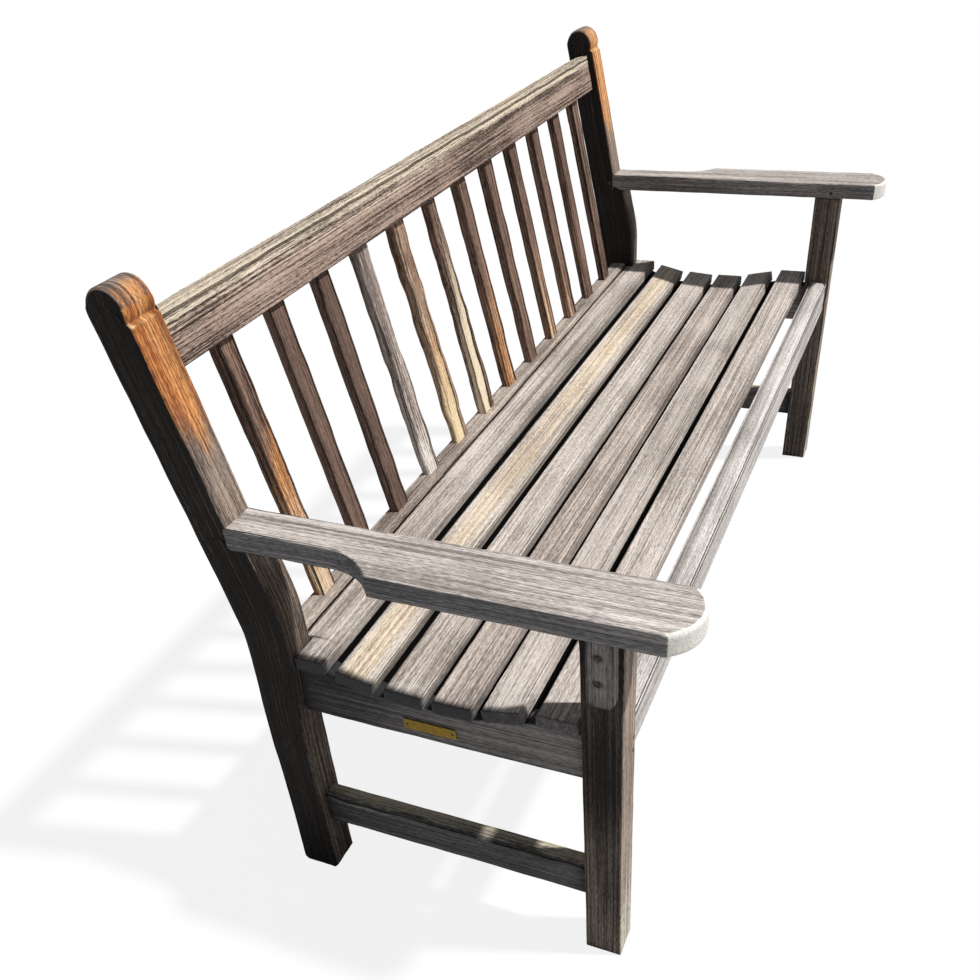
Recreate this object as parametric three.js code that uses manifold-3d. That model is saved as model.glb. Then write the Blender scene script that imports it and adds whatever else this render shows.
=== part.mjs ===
// Weathered teak garden bench: slatted back, dished slatted seat, flat shaped arms.
// Units are millimetres. +X runs along the bench, the bench faces -Y and +Z is up.
// Depths (y) are counted backwards from the front face of the front legs, and heights (z) from
// the ground. The finished group is then moved so that its origin is the middle of the footprint.
// Each end frame is built once, with x counted outwards from its inner face, and mirrored for
// the other end. Joints are mortise and tenon, with FIT of clearance all round.
import * as THREE from "three";
import { mergeVertices } from "three/addons/utils/BufferGeometryUtils.js";
import Module from "manifold-3d";

const wasm = await Module();
wasm.setup();

// ---------------------------------------------------------------- driving dimensions
const LENGTH = 1524; // over the outer faces of the two end frames
const TIMBER = 49; // thickness of posts and legs, along the bench
const INSIDE = LENGTH / 2 - TIMBER; // middle of the bench to the inner face of an end frame
const FIT = 0.3; // clearance round every joint
const EASE = 2; // softened edge of every board
const ROUND_SIDES = 10; // facets round a peg or a screw
const ROOT = 10; // how deep a tenon starts inside its own board, so that the two join
const OPEN = 5; // how far a cut that opens at a face starts outside it

const ARM_BOTTOM = 592;
const ARM_THICK = 29;
const ARM_TOP = ARM_BOTTOM + ARM_THICK;
const ARM = {
  flankX: 52, // outer edge of the narrow rear part
  flankEndY: 347, // where the outer edge starts to swing out
  rearY: 496, // behind the post's front face, before the end is scribed to it
  flareRadius: 80,
  flareTurn: 56, // degrees
  noseX: 87,
  noseOuterY: -53,
  noseInnerY: -63,
  noseRise: 23.5, // how far the curved front end stands out from its chord
};

const LEG = { depth: 51, ease: 1.5 };

// Side view of the back post: a raked part above the arm, a knee under it that comes forward to
// carry the arm, and an upright part that swells from the ankle to the knee.
const POST = {
  rakeSlope: 0.1975,
  frontY: 484, // depth of the raked front face at the top of the arm
  thick: 54, // depth of the raked part, measured level
  shoulderY: 462.5, // front of the level shoulder that carries the arm
  kneeZ: 502, // where the upright part turns into the rake
  kneeBend: 24, // half the height of the rounded front of the knee
  rearBend: 15, // the same behind
  kneeFrontY: 441.5,
  kneeRearY: 507,
  thighZ: 440, // top of the swell
  swell: [330, 360], // heights of the handles of its curve
  ankleZ: 244,
  ankleFrontY: 454,
  ankleRearY: 513,
  heelZ: 90,
  footFrontY: 458,
  footRearY: 518,
  footChamfer: 6,
  neckZ: 855, // small step under the rounded head
  headZ: 867.5, // centre of the rounded head
  headRadius: 26.5,
};
const RAKE = Math.atan(POST.rakeSlope);

// Rails that join the front leg to the back post, with x counted from the inner face.
const SIDE_RAIL = { x: [9, 37], bottom: 333, tenonX: [17, 29], tenonZ: [345, 386] };
const STRETCHER = { x: [12, 37], z: [105, 160], round: 9, tenonX: [18.5, 30.5], tenonZ: [113, 152] };
const END_TENON = 31; // length of the tenons of both rails

const FRONT_RAIL = { y: [4.5, 37.5], z: [362, 422.5], round: 13, tenonY: [13, 29], tenonZ: [368, 410] };
const LOWER_BACK_RAIL = {
  y: [454, 486],
  z: [376, 435],
  roundFront: 8,
  roundRear: 4,
  tenonY: [462, 478],
  tenonZ: [384, 427],
};
const LONG_TENON = 14.5; // length of the tenons of the three long rails

// The back leans in its own frame: u runs up the slats and v runs backwards, square to them.
const BACK_ORIGIN = { y: 475.5, z: LOWER_BACK_RAIL.z[1] };
const TOP_RAIL = {
  v: [-14.5, 15.5],
  u: [355, 420],
  roundFront: 9,
  roundRear: 6,
  tenonV: [-7.5, 8.5],
  tenonU: [364, 410],
};
const BACK_SLAT = { count: 12, wide: 36, thick: 13, pitch: 112, housed: 15 };

// Seat slats from front to back: depth of the middle, height of the top face there, and lean
// in degrees, with the rear edge up when it is positive. Together they make the dished seat.
const SEAT_SLAT = { wide: 53, thick: 20, half: 756, screwX: 23, notchClear: 1.5 };
const SEAT_ROWS = [
  { y: 82.5, z: 428.7, lean: 0 },
  { y: 155, z: 419.3, lean: -11.5 },
  { y: 221, z: 409.5, lean: 0 },
  { y: 287.5, z: 410.3, lean: 3.5 },
  { y: 355, z: 417, lean: 12.5 },
  { y: 424.5, z: 430, lean: 0 },
];

const ARM_BLOCK = {
  thick: 17,
  y: [6, 38],
  bottom: 485,
  chamfer: 5,
  ease: 1.5,
  screwY: 24,
  screwZ: [520, 556],
};
const ARM_TENON = { x: [12, 37], y: [12, 38], tall: 20 }; // top of the front leg
const REAR_TENON = { x: [12, 37], long: 22, z: [597, 613] }; // rear end of the arm

const PEG = { long: 36, chamfer: 1 };
const ARM_LEG_PEG = { radius: 3.5, y: 20, z: 602 };
const ARM_POST_PEG = { radius: 4.5, y: 493.5, z: 605 };
const FRONT_RAIL_PEG = { radius: 3, x: 7, z: [372, 394] };

const WOOD_SCREW = {
  headRadius: 4.5,
  coneDeep: 3,
  rim: 0.6,
  slotHalf: 0.6,
  slotDeep: 1,
  shankRadius: 2.2,
  long: 42,
  tip: 6,
  sunk: 1,
};
const PLATE = { y: [221, 295], z: [347.5, 364], thick: 1.5, ease: 0.4, pinInset: 5 };
const PLATE_PIN = { headRadius: 2.2, dome: 1.1, shankRadius: 1, long: 12, tip: 1 };

const COLOURS = {
  seat: 0xb3a699,
  arm: 0xb9ac9f,
  back: 0x6b5546,
  post: 0x7a5a42,
  rail: 0x84705f,
  leg: 0x6f6257,
  peg: 0x4b4038,
  steel: 0x6d675f,
  brass: 0x96731e,
};

// ---------------------------------------------------------------- solids and geometries
/** A closed three.js geometry as a solid that can be joined and cut. */
function toSolid(geometry, matrix = new THREE.Matrix4()) {
  const loose = geometry.index ? geometry.toNonIndexed() : geometry;
  const bare = new THREE.BufferGeometry();
  bare.setAttribute("position", loose.getAttribute("position").clone());
  bare.applyMatrix4(matrix);
  const merged = mergeVertices(bare, 1e-4);
  return new wasm.Manifold(
    new wasm.Mesh({
      numProp: 3,
      vertProperties: merged.attributes.position.array,
      triVerts: new Uint32Array(merged.index.array),
    }),
  );
}

/** The flat-shaded three.js geometry of a solid. */
function toGeometry(solid) {
  const mesh = solid.getMesh();
  const geometry = new THREE.BufferGeometry();
  geometry.setAttribute("position", new THREE.BufferAttribute(mesh.vertProperties, 3));
  geometry.setIndex(new THREE.BufferAttribute(mesh.triVerts, 1));
  const flat = geometry.toNonIndexed();
  flat.computeVertexNormals();
  return flat;
}

// A shape is drawn in two of the axes and pushed along the third.
const ALONG = {
  x: new THREE.Vector3(1, 0, 0),
  y: new THREE.Vector3(0, 1, 0),
  z: new THREE.Vector3(0, 0, 1),
};
const AXES = {
  x: new THREE.Matrix4().makeBasis(ALONG.y, ALONG.z, ALONG.x), // drawn in (y, z)
  y: new THREE.Matrix4().makeBasis(ALONG.z, ALONG.x, ALONG.y), // drawn in (z, x)
  z: new THREE.Matrix4(), // drawn in (x, y)
};

/** A shape pushed from one place to another along an axis, with softened end edges. */
function prism(shape, axis, from, to, { ease = 0, curveSegments = 1 } = {}) {
  const geometry = new THREE.ExtrudeGeometry(shape, {
    depth: to - from - 2 * ease,
    bevelEnabled: ease > 0,
    bevelThickness: ease,
    bevelSize: ease,
    bevelOffset: -ease,
    bevelSegments: 1,
    curveSegments,
  });
  geometry.translate(0, 0, from + ease);
  return toSolid(geometry, AXES[axis]);
}

/** A plain block between two corners, optionally turned and moved by a matrix. */
function block([x0, x1], [y0, y1], [z0, z1], matrix) {
  const geometry = new THREE.BoxGeometry(x1 - x0, y1 - y0, z1 - z0);
  geometry.translate((x0 + x1) / 2, (y0 + y1) / 2, (z0 + z1) / 2);
  return toSolid(geometry, matrix);
}

/** The same block with clearance on every side, which cuts the mortise for it. */
function roomFor([x0, x1], [y0, y1], [z0, z1], matrix) {
  return block([x0 - FIT, x1 + FIT], [y0 - FIT, y1 + FIT], [z0 - FIT, z1 + FIT], matrix);
}

/** A solid of revolution about +Z from a profile of [radius, height] pairs, lowest first. */
function turned(profile, matrix) {
  const points = profile.map(([radius, height]) => new THREE.Vector2(radius, height));
  const geometry = new THREE.LatheGeometry(points, ROUND_SIDES);
  geometry.rotateX(Math.PI / 2);
  return toSolid(geometry, matrix);
}

/** A matrix that lays a piece made along +Z along another axis, starting from a point. */
function aim(direction, x, y, z) {
  const turn = new THREE.Quaternion().setFromUnitVectors(ALONG.z, direction);
  return new THREE.Matrix4().compose(new THREE.Vector3(x, y, z), turn, new THREE.Vector3(1, 1, 1));
}

const OUTWARDS = ALONG.x;
const BACKWARDS = ALONG.y;

/** A four-sided section over two bands, with rounded or softened corners, drawn anticlockwise. */
function section([a0, a1], [b0, b1], { lowFar = EASE, highFar = EASE, highNear = EASE } = {}) {
  const shape = new THREE.Shape();
  const quarter = Math.PI / 2;
  shape.absarc(a0 + EASE, b0 + EASE, EASE, 2 * quarter, 3 * quarter);
  shape.absarc(a1 - lowFar, b0 + lowFar, lowFar, 3 * quarter, 4 * quarter);
  shape.absarc(a1 - highFar, b1 - highFar, highFar, 0, quarter);
  shape.absarc(a0 + highNear, b1 - highNear, highNear, quarter, 2 * quarter);
  return shape;
}

/** Both ends of a band counted outwards, for the end at +X or, mirrored, for the one at -X. */
const atEnd = (way, band) => band.map((x) => way * (INSIDE + x)).sort((a, b) => a - b);

/** A named mesh of a solid, with a material of its own. */
function paint(name, solid, colour, { roughness = 0.85, metalness = 0 } = {}) {
  const material = new THREE.MeshStandardMaterial({ color: colour, roughness, metalness });
  const mesh = new THREE.Mesh(toGeometry(solid), material);
  mesh.name = name;
  return mesh;
}

const METAL = { roughness: 0.5, metalness: 0.9 };

// ---------------------------------------------------------------- fasteners
/** A round wooden peg along +Z, and the hole for it when it is given clearance. */
function peg(radius, matrix, clearance = 0) {
  const r = radius + clearance;
  const end = PEG.long + clearance;
  const profile = [
    [0, -clearance],
    [r, -clearance],
    [r, end - PEG.chamfer],
    [r - PEG.chamfer, end],
    [0, end],
  ];
  return turned(profile, matrix);
}

/** A slotted countersunk screw whose head is at the origin and whose shank runs down -Z. */
function screw(matrix) {
  const { headRadius, coneDeep, rim, slotHalf, slotDeep, shankRadius, long, tip } = WOOD_SCREW;
  const profile = [
    [0, -long],
    [shankRadius, -long + tip],
    [shankRadius, -coneDeep],
    [headRadius, -rim],
    [headRadius, 0],
    [0, 0],
  ];
  const across = [-headRadius - OPEN, headRadius + OPEN];
  const slot = block(across, [-slotHalf, slotHalf], [-slotDeep, OPEN], matrix);
  return turned(profile, matrix).subtract(slot);
}

/** The hole for that screw, open above its sunk head. */
function screwHole(matrix) {
  const { headRadius, coneDeep, rim, shankRadius, long, tip } = WOOD_SCREW;
  const wide = headRadius + FIT;
  const narrow = shankRadius + FIT;
  const end = long + 2 * FIT;
  const profile = [
    [0, -end],
    [narrow, -end + tip],
    [narrow, -coneDeep - FIT],
    [wide, -rim - FIT],
    [wide, OPEN],
    [0, OPEN],
  ];
  return turned(profile, matrix);
}

// ---------------------------------------------------------------- end frame: outlines
/** Depth of the raked front face of the back post at a height. */
const rakedFront = (z) => POST.frontY + POST.rakeSlope * (z - ARM_TOP);

/** Side view of the back post, drawn in (y, z) up the front, round the head and down the back. */
function postShape() {
  const { kneeZ, kneeBend, rearBend, kneeFrontY, kneeRearY, ankleZ, ankleFrontY, ankleRearY } = POST;
  const { footFrontY, footRearY, footChamfer, neckZ, headZ, headRadius, swell, thighZ } = POST;
  const shoulderZ = ARM_BOTTOM - FIT;
  const kneeSlope = (POST.shoulderY - kneeFrontY) / (shoulderZ - kneeZ);
  const headY = rakedFront(headZ) + POST.thick - headRadius * Math.hypot(1, POST.rakeSlope);
  const neckAngle = Math.PI + Math.asin((headZ - neckZ) / headRadius);
  const rearKneeZ = ARM_TOP - (POST.frontY + POST.thick - kneeRearY) / POST.rakeSlope;
  const shape = new THREE.Shape();
  shape.moveTo(footFrontY + footChamfer, 0);
  shape.lineTo(footFrontY, footChamfer);
  shape.lineTo(ankleFrontY, ankleZ);
  shape.bezierCurveTo(ankleFrontY, swell[0], kneeFrontY, swell[1], kneeFrontY, thighZ);
  shape.lineTo(kneeFrontY, kneeZ - kneeBend);
  shape.quadraticCurveTo(kneeFrontY, kneeZ, kneeFrontY + kneeSlope * kneeBend, kneeZ + kneeBend);
  shape.lineTo(POST.shoulderY, shoulderZ);
  shape.lineTo(rakedFront(shoulderZ), shoulderZ);
  shape.lineTo(rakedFront(neckZ), neckZ);
  shape.absarc(headY, headZ, headRadius, neckAngle, -RAKE, true);
  shape.lineTo(kneeRearY + POST.rakeSlope * rearBend, rearKneeZ + rearBend);
  shape.quadraticCurveTo(kneeRearY, rearKneeZ, kneeRearY, rearKneeZ - rearBend);
  shape.bezierCurveTo(kneeRearY, swell[1], ankleRearY, swell[0], ankleRearY, ankleZ);
  shape.quadraticCurveTo(ankleRearY, POST.heelZ, footRearY, footChamfer);
  shape.lineTo(footRearY - footChamfer, 0);
  return shape;
}

/** Plan of the arm, drawn in (x, y): narrow at the back, flaring out to a broad curved nose. */
function armShape() {
  const turn = THREE.MathUtils.degToRad(ARM.flareTurn);
  const inner = new THREE.Vector2(0, ARM.noseInnerY);
  const outer = new THREE.Vector2(ARM.noseX, ARM.noseOuterY);
  const chord = outer.distanceTo(inner);
  const radius = (chord * chord) / 8 / ARM.noseRise + ARM.noseRise / 2;
  const half = Math.asin(chord / 2 / radius);
  const lean = Math.atan2(outer.y - inner.y, outer.x - inner.x);
  const middle = inner.clone().add(outer).divideScalar(2);
  const back = new THREE.Vector2(-Math.sin(lean), Math.cos(lean));
  const centre = middle.clone().addScaledVector(back, radius - ARM.noseRise);
  const straightDown = -Math.PI / 2 + lean;
  const shape = new THREE.Shape();
  shape.moveTo(0, ARM.rearY);
  shape.lineTo(inner.x, inner.y);
  shape.absarc(centre.x, centre.y, radius, straightDown - half, straightDown + half, false);
  shape.lineTo(
    ARM.flankX + ARM.flareRadius * (1 - Math.cos(turn)),
    ARM.flankEndY - ARM.flareRadius * Math.sin(turn),
  );
  shape.absarc(
    ARM.flankX + ARM.flareRadius,
    ARM.flankEndY,
    ARM.flareRadius,
    Math.PI + turn,
    Math.PI,
    true,
  );
  shape.lineTo(ARM.flankX, ARM.rearY);
  return shape;
}

/** Side view of the side rail, whose top is cut into flats that bed the seat slats. */
function sideRailShape() {
  const frontY = LEG.depth + FIT;
  const rearY = POST.ankleFrontY;
  const flats = SEAT_ROWS.flatMap(({ y, z, lean }) => {
    const tilt = THREE.MathUtils.degToRad(lean);
    const drop = SEAT_SLAT.thick + FIT;
    const reach = SEAT_SLAT.wide / 2;
    const middle = new THREE.Vector2(y + drop * Math.sin(tilt), z - drop * Math.cos(tilt));
    const along = new THREE.Vector2(Math.cos(tilt), Math.sin(tilt));
    return [-reach, reach].map((step) => middle.clone().addScaledVector(along, step));
  });
  const outline = [
    new THREE.Vector2(frontY, SIDE_RAIL.bottom),
    new THREE.Vector2(rearY, SIDE_RAIL.bottom),
    new THREE.Vector2(rearY, flats.at(-1).y),
    ...flats.toReversed(),
    new THREE.Vector2(frontY, flats[0].y),
  ];
  return new THREE.Shape(outline);
}

// ---------------------------------------------------------------- end frame: joint places
const FRONT_END = [LEG.depth - END_TENON, LEG.depth + ROOT];
const SIDE_REAR_END = [POST.kneeFrontY - ROOT, POST.kneeFrontY + END_TENON];
const STRETCHER_REAR_END = [POST.ankleFrontY - ROOT, POST.ankleFrontY + END_TENON];

// Every tenon as a block, with x counted outwards from the inner face of the end frame.
const LONG_REACH = [-ROOT, LONG_TENON];
const TENONS = {
  sideFront: [SIDE_RAIL.tenonX, FRONT_END, SIDE_RAIL.tenonZ],
  sideRear: [SIDE_RAIL.tenonX, SIDE_REAR_END, SIDE_RAIL.tenonZ],
  stretcherFront: [STRETCHER.tenonX, FRONT_END, STRETCHER.tenonZ],
  stretcherRear: [STRETCHER.tenonX, STRETCHER_REAR_END, STRETCHER.tenonZ],
  frontRail: [LONG_REACH, FRONT_RAIL.tenonY, FRONT_RAIL.tenonZ],
  lowerBackRail: [LONG_REACH, LOWER_BACK_RAIL.tenonY, LOWER_BACK_RAIL.tenonZ],
  topRail: [LONG_REACH, TOP_RAIL.tenonV, TOP_RAIL.tenonU], // in the leaning frame of the back
  armRear: [REAR_TENON.x, [POST.frontY - ROOT - OPEN, POST.frontY + REAR_TENON.long], REAR_TENON.z],
  armFront: [ARM_TENON.x, ARM_TENON.y, [ARM_BOTTOM - OPEN, ARM_BOTTOM + ARM_TENON.tall]],
};
const LEANING = new THREE.Matrix4()
  .makeTranslation(0, BACK_ORIGIN.y, BACK_ORIGIN.z)
  .multiply(new THREE.Matrix4().makeRotationX(-RAKE));

const armLegPegAt = aim(OUTWARDS, 0, ARM_LEG_PEG.y, ARM_LEG_PEG.z);
const armPostPegAt = aim(OUTWARDS, 0, ARM_POST_PEG.y, ARM_POST_PEG.z);
const frontRailPegsAt = FRONT_RAIL_PEG.z.map((z) => aim(BACKWARDS, FRONT_RAIL_PEG.x, 0, z));
const blockScrewsAt = ARM_BLOCK.screwZ.map((z) =>
  aim(OUTWARDS, TIMBER + ARM_BLOCK.thick + FIT - WOOD_SCREW.sunk, ARM_BLOCK.screwY, z),
);

/** The leaning frame of a seat slat: its origin is the middle of the slat's top face. */
function slatFrame({ y, z, lean }) {
  const tilt = THREE.MathUtils.degToRad(lean);
  return new THREE.Matrix4().makeTranslation(0, y, z).multiply(new THREE.Matrix4().makeRotationX(tilt));
}

const slatScrewAt = (x) => new THREE.Matrix4().makeTranslation(x, 0, -WOOD_SCREW.sunk);

// ---------------------------------------------------------------- end frame: pieces
const postBlank = prism(postShape(), "x", 0, TIMBER, { ease: EASE, curveSegments: 8 });
const postScribe = postBlank.translate([0, -FIT, 0]); // cuts the shoulders that meet the post

const pieceMakers = {
  back_post() {
    return postBlank
      .subtract(roomFor(...TENONS.sideRear))
      .subtract(roomFor(...TENONS.stretcherRear))
      .subtract(roomFor(...TENONS.topRail, LEANING))
      .subtract(roomFor(...TENONS.lowerBackRail))
      .subtract(roomFor(...TENONS.armRear))
      .subtract(peg(ARM_POST_PEG.radius, armPostPegAt, FIT));
  },

  front_leg() {
    const plan = section([0, TIMBER], [0, LEG.depth]);
    let leg = prism(plan, "z", 0, ARM_BOTTOM - FIT, { ease: LEG.ease })
      .add(block(...TENONS.armFront))
      .subtract(roomFor(...TENONS.sideFront))
      .subtract(roomFor(...TENONS.stretcherFront))
      .subtract(roomFor(...TENONS.frontRail))
      .subtract(peg(ARM_LEG_PEG.radius, armLegPegAt, FIT));
    for (const at of frontRailPegsAt) leg = leg.subtract(peg(FRONT_RAIL_PEG.radius, at, FIT));
    for (const at of blockScrewsAt) leg = leg.subtract(screwHole(at));
    return leg;
  },

  arm() {
    return prism(armShape(), "z", ARM_BOTTOM, ARM_TOP, { ease: EASE, curveSegments: 8 })
      .subtract(postScribe)
      .add(block(...TENONS.armRear))
      .subtract(roomFor(...TENONS.armFront))
      .subtract(peg(ARM_LEG_PEG.radius, armLegPegAt, FIT))
      .subtract(peg(ARM_POST_PEG.radius, armPostPegAt, FIT));
  },

  side_rail() {
    let rail = prism(sideRailShape(), "x", ...SIDE_RAIL.x)
      .subtract(postScribe)
      .add(block(...TENONS.sideFront))
      .add(block(...TENONS.sideRear));
    for (const row of SEAT_ROWS) {
      rail = rail.subtract(screwHole(slatFrame(row).multiply(slatScrewAt(SEAT_SLAT.screwX))));
    }
    return rail;
  },

  lower_stretcher() {
    const { x, z, round } = STRETCHER;
    const across = section(z, x, { highFar: round });
    return prism(across, "y", LEG.depth + FIT, POST.ankleFrontY + OPEN, { curveSegments: 3 })
      .subtract(postScribe)
      .add(block(...TENONS.stretcherFront))
      .add(block(...TENONS.stretcherRear));
  },

  arm_block() {
    const { thick, y, bottom, chamfer, ease } = ARM_BLOCK;
    const top = ARM_BOTTOM - FIT;
    const outline = new THREE.Shape([
      new THREE.Vector2(y[0] + chamfer, bottom),
      new THREE.Vector2(y[1], bottom),
      new THREE.Vector2(y[1], top),
      new THREE.Vector2(y[0], top),
      new THREE.Vector2(y[0], bottom + chamfer),
    ]);
    const inner = TIMBER + FIT;
    let piece = prism(outline, "x", inner, inner + thick, { ease });
    for (const at of blockScrewsAt) piece = piece.subtract(screwHole(at));
    return piece;
  },
};

/** One complete end frame, in its own frame, with x counted outwards from its inner face. */
function endFrame(side, withPlate) {
  const group = new THREE.Group();
  const colours = {
    back_post: COLOURS.post,
    front_leg: COLOURS.leg,
    arm: COLOURS.arm,
    side_rail: COLOURS.rail,
    lower_stretcher: COLOURS.rail,
    arm_block: COLOURS.leg,
  };
  for (const [name, make] of Object.entries(pieceMakers)) {
    let solid = make();
    if (withPlate && name === "side_rail") {
      for (const at of platePinsAt) solid = solid.subtract(platePin(at, FIT));
    }
    group.add(paint(`${name}_${side}`, solid, colours[name]));
  }
  group.add(paint(`arm_leg_peg_${side}`, peg(ARM_LEG_PEG.radius, armLegPegAt), COLOURS.peg));
  group.add(paint(`arm_post_peg_${side}`, peg(ARM_POST_PEG.radius, armPostPegAt), COLOURS.peg));
  frontRailPegsAt.forEach((at, i) => {
    group.add(paint(`front_rail_peg_${side}_${i + 1}`, peg(FRONT_RAIL_PEG.radius, at), COLOURS.peg));
  });
  blockScrewsAt.forEach((at, i) => {
    group.add(paint(`arm_block_screw_${side}_${i + 1}`, screw(at), COLOURS.steel, METAL));
  });
  if (withPlate) group.add(...plateParts());
  return group;
}

// ---------------------------------------------------------------- blank plate
const plateFace = SIDE_RAIL.x[1] + FIT;
const platePinsAt = [PLATE.y[0] + PLATE.pinInset, PLATE.y[1] - PLATE.pinInset].map((y) =>
  aim(OUTWARDS, plateFace + PLATE.thick + FIT, y, (PLATE.z[0] + PLATE.z[1]) / 2),
);

/** A small domed pin whose head sits at the origin and whose shank runs down -Z. */
function platePin(matrix, clearance = 0) {
  const { headRadius, dome, shankRadius, long, tip } = PLATE_PIN;
  const r = shankRadius + clearance;
  const end = long + clearance;
  const profile = [
    [0, -end],
    [r, -end + tip],
    [r, 0],
    [headRadius, 0],
    [headRadius * Math.SQRT1_2, dome * Math.SQRT1_2],
    [0, dome],
  ];
  return turned(profile, matrix);
}

function plateParts() {
  const plan = section(PLATE.y, PLATE.z);
  let plate = prism(plan, "x", plateFace, plateFace + PLATE.thick, { ease: PLATE.ease });
  for (const at of platePinsAt) plate = plate.subtract(platePin(at, FIT));
  return [
    paint("blank_plate", plate, COLOURS.brass, METAL),
    ...platePinsAt.map((at, i) => paint(`plate_pin_${i + 1}`, platePin(at), COLOURS.brass, METAL)),
  ];
}

// ---------------------------------------------------------------- long rails
/** A rail between the two end frames, with the same tenon at both ends. */
function longRail(shape, [reach, ...across]) {
  return prism(shape, "x", -INSIDE + FIT, INSIDE - FIT, { curveSegments: 3 })
    .add(block(atEnd(1, reach), ...across))
    .add(block(atEnd(-1, reach), ...across));
}

function frontSeatRail() {
  const { y, z, round } = FRONT_RAIL;
  let rail = longRail(section(y, z, { highFar: round, highNear: round }), TENONS.frontRail);
  for (const height of FRONT_RAIL_PEG.z) {
    for (const way of [1, -1]) {
      const at = aim(BACKWARDS, way * (INSIDE + FRONT_RAIL_PEG.x), 0, height);
      rail = rail.subtract(peg(FRONT_RAIL_PEG.radius, at, FIT));
    }
  }
  return rail;
}

/** Middle of each back slat along the bench. */
const backSlatX = Array.from(
  { length: BACK_SLAT.count },
  (_, i) => (i - (BACK_SLAT.count - 1) / 2) * BACK_SLAT.pitch,
);

const SLAT_REACH = [-BACK_SLAT.housed, TOP_RAIL.u[0] + BACK_SLAT.housed];

/** A back slat in the leaning frame. */
function backSlat() {
  const { wide, thick } = BACK_SLAT;
  return prism(section([-wide / 2, wide / 2], [-thick / 2, thick / 2]), "z", ...SLAT_REACH);
}

/** The housing that a back slat at x needs in the rails, in the leaning frame or moved by a matrix. */
function slatHousing(x, matrix) {
  const { wide, thick } = BACK_SLAT;
  return roomFor([x - wide / 2, x + wide / 2], [-thick / 2, thick / 2], SLAT_REACH, matrix);
}

function lowerBackRail() {
  const { y, z, roundFront, roundRear } = LOWER_BACK_RAIL;
  const across = section(y, z, { highNear: roundFront, highFar: roundRear });
  let rail = longRail(across, TENONS.lowerBackRail);
  for (const x of backSlatX) rail = rail.subtract(slatHousing(x, LEANING));
  return rail;
}

/** The top rail in the leaning frame. */
function topRail() {
  const { v, u, roundFront, roundRear } = TOP_RAIL;
  const across = section(v, u, { highNear: roundFront, highFar: roundRear });
  let rail = longRail(across, TENONS.topRail);
  for (const x of backSlatX) rail = rail.subtract(slatHousing(x));
  return rail;
}

// ---------------------------------------------------------------- seat
/** A seat slat in its own frame. The rearmost one is notched round both back posts. */
function seatSlat(isRearmost) {
  const { wide, thick, half, screwX, notchClear } = SEAT_SLAT;
  let slat = prism(section([-wide / 2, wide / 2], [-thick, 0]), "x", -half, half);
  const notchY = POST.kneeFrontY - notchClear - SEAT_ROWS.at(-1).y;
  for (const way of [-1, 1]) {
    slat = slat.subtract(screwHole(slatScrewAt(way * (INSIDE + screwX))));
    if (isRearmost) {
      const notchX = atEnd(way, [-notchClear, TIMBER]);
      slat = slat.subtract(block(notchX, [notchY, wide], [-thick - OPEN, OPEN]));
    }
  }
  return slat;
}

function seatRow(row, i) {
  const group = new THREE.Group();
  slatFrame(row).decompose(group.position, group.quaternion, group.scale);
  const isRearmost = i === SEAT_ROWS.length - 1;
  group.add(paint(`seat_slat_${i + 1}`, seatSlat(isRearmost), COLOURS.seat));
  for (const [side, way] of [["left", -1], ["right", 1]]) {
    const at = slatScrewAt(way * (INSIDE + SEAT_SLAT.screwX));
    group.add(paint(`seat_screw_${side}_${i + 1}`, screw(at), COLOURS.steel, METAL));
  }
  return group;
}

// ---------------------------------------------------------------- assembly
const bench = new THREE.Group();

const rightEnd = endFrame("right", false);
rightEnd.position.x = INSIDE;
const leftEnd = endFrame("left", true);
leftEnd.position.x = -INSIDE;
leftEnd.scale.x = -1;

const back = new THREE.Group();
LEANING.decompose(back.position, back.quaternion, back.scale);
back.add(paint("top_rail", topRail(), COLOURS.rail));
backSlatX.forEach((x, i) => {
  const slat = paint(`back_slat_${String(i + 1).padStart(2, "0")}`, backSlat(), COLOURS.back);
  slat.position.x = x;
  back.add(slat);
});

const seat = new THREE.Group();
seat.add(...SEAT_ROWS.map(seatRow));

bench.add(
  rightEnd,
  leftEnd,
  back,
  seat,
  paint("front_seat_rail", frontSeatRail(), COLOURS.seat),
  paint("lower_back_rail", lowerBackRail(), COLOURS.rail),
);

// The origin goes to the middle of the footprint of everything, on the ground.
bench.updateMatrixWorld(true);
const footprint = new THREE.Box3().setFromObject(bench, true);
bench.position.y = -(footprint.min.y + footprint.max.y) / 2;

export default bench;
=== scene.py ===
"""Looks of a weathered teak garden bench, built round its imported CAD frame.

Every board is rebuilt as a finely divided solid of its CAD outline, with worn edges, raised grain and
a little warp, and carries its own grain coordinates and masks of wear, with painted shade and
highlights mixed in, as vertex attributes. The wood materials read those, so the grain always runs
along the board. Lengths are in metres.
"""
import functools
import math

import bpy
import numpy as np
from mathutils import Matrix, Vector
from mathutils.bvhtree import BVHTree


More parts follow.
